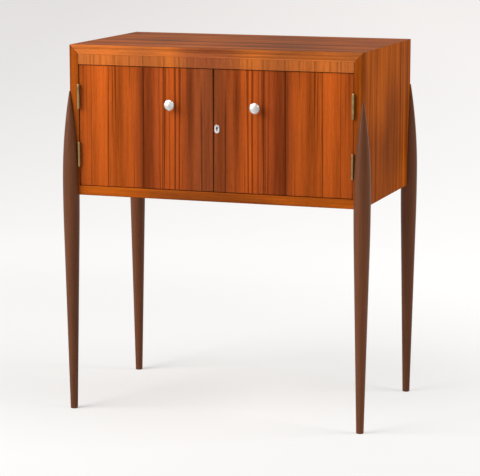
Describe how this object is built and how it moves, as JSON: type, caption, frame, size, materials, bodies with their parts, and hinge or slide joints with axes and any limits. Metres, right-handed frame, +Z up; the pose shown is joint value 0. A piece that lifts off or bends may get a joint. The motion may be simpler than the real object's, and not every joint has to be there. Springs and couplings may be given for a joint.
{
  "type": "cabinet on stand",
  "caption": "Small veneered cabinet with a pair of inset doors, round knobs and a lock, carried on turned spindle legs that clasp the corners of its case.",
  "frame": {"origin": "on the floor, midway between the four legs", "axes": "+Z up, the doors face -Y, +X to the right of a person who faces the doors"},
  "size_m": [0.689, 0.42, 0.8],
  "materials": {
    "case_veneer": "satin lacquer over bookmatched veneer",
    "door_veneer": "satin lacquer over bookmatched veneer",
    "leg_wood": "satin lacquer",
    "lining_wood": "thin lacquer",
    "joint_wood": "plain",
    "nickel": "satin plated",
    "brass": "satin",
    "steel": "plain"
  },
  "bodies": {
    "case": {"top_panel": "case_veneer", "bottom_panel": "case_veneer", "left_side": "case_veneer", "right_side": "case_veneer", "back_panel": "lining_wood", "top_rail": "case_veneer", "mitre_splines": "joint_wood", "rail_dowels": "joint_wood", "back_screws": "steel", "door_stops": "lining_wood", "shelf": "lining_wood", "shelf_pins": "brass", "front_left_leg": "leg_wood", "front_right_leg": "leg_wood", "back_left_leg": "leg_wood", "back_right_leg": "leg_wood", "leg_screws": "steel", "left_upper_case_leaf": "brass", "left_lower_case_leaf": "brass", "right_upper_case_leaf": "brass", "right_lower_case_leaf": "brass", "hinge_pins": "brass", "case_hinge_screws": "brass", "door_bolt_keeper": "brass", "keeper_screws": "brass"},
    "left_door": {"left_door": "door_veneer", "left_knob": "nickel", "left_knob_screw": "steel", "left_upper_door_leaf": "brass", "left_lower_door_leaf": "brass", "left_door_hinge_screws": "brass", "strike_plate": "brass", "strike_screws": "brass", "door_bolt_plate": "brass", "bolt_plate_screws": "brass"},
    "right_door": {"right_door": "door_veneer", "right_knob": "nickel", "right_knob_screw": "steel", "right_upper_door_leaf": "brass", "right_lower_door_leaf": "brass", "right_door_hinge_screws": "brass", "key_escutcheon": "nickel", "key_plate_pins": "nickel", "lock_case": "brass", "lock_cover": "brass", "lock_screws": "brass", "lock_spring": "steel"},
    "lock_bolt": {"lock_bolt": "brass"},
    "door_bolt": {"door_bolt_rod": "brass"}
  },
  "joints": [
    {"name": "left_door_hinge", "type": "hinge", "parent": "case", "child": "left_door", "pos_m": [-0.30575, -0.1954, 0.627], "axis": [0, 0, -1], "range_deg": [0, 110]},
    {"name": "right_door_hinge", "type": "hinge", "parent": "case", "child": "right_door", "pos_m": [0.30575, -0.1954, 0.627], "axis": [0, 0, 1], "range_deg": [0, 110]},
    {"name": "lock_bolt_slide", "type": "slide", "parent": "right_door", "child": "lock_bolt", "axis": [-1, 0, 0], "range_m": [0, 0.007]},
    {"name": "door_bolt_slide", "type": "slide", "parent": "left_door", "child": "door_bolt", "axis": [0, 0, 1], "range_m": [0, 0.008]}
  ]
}
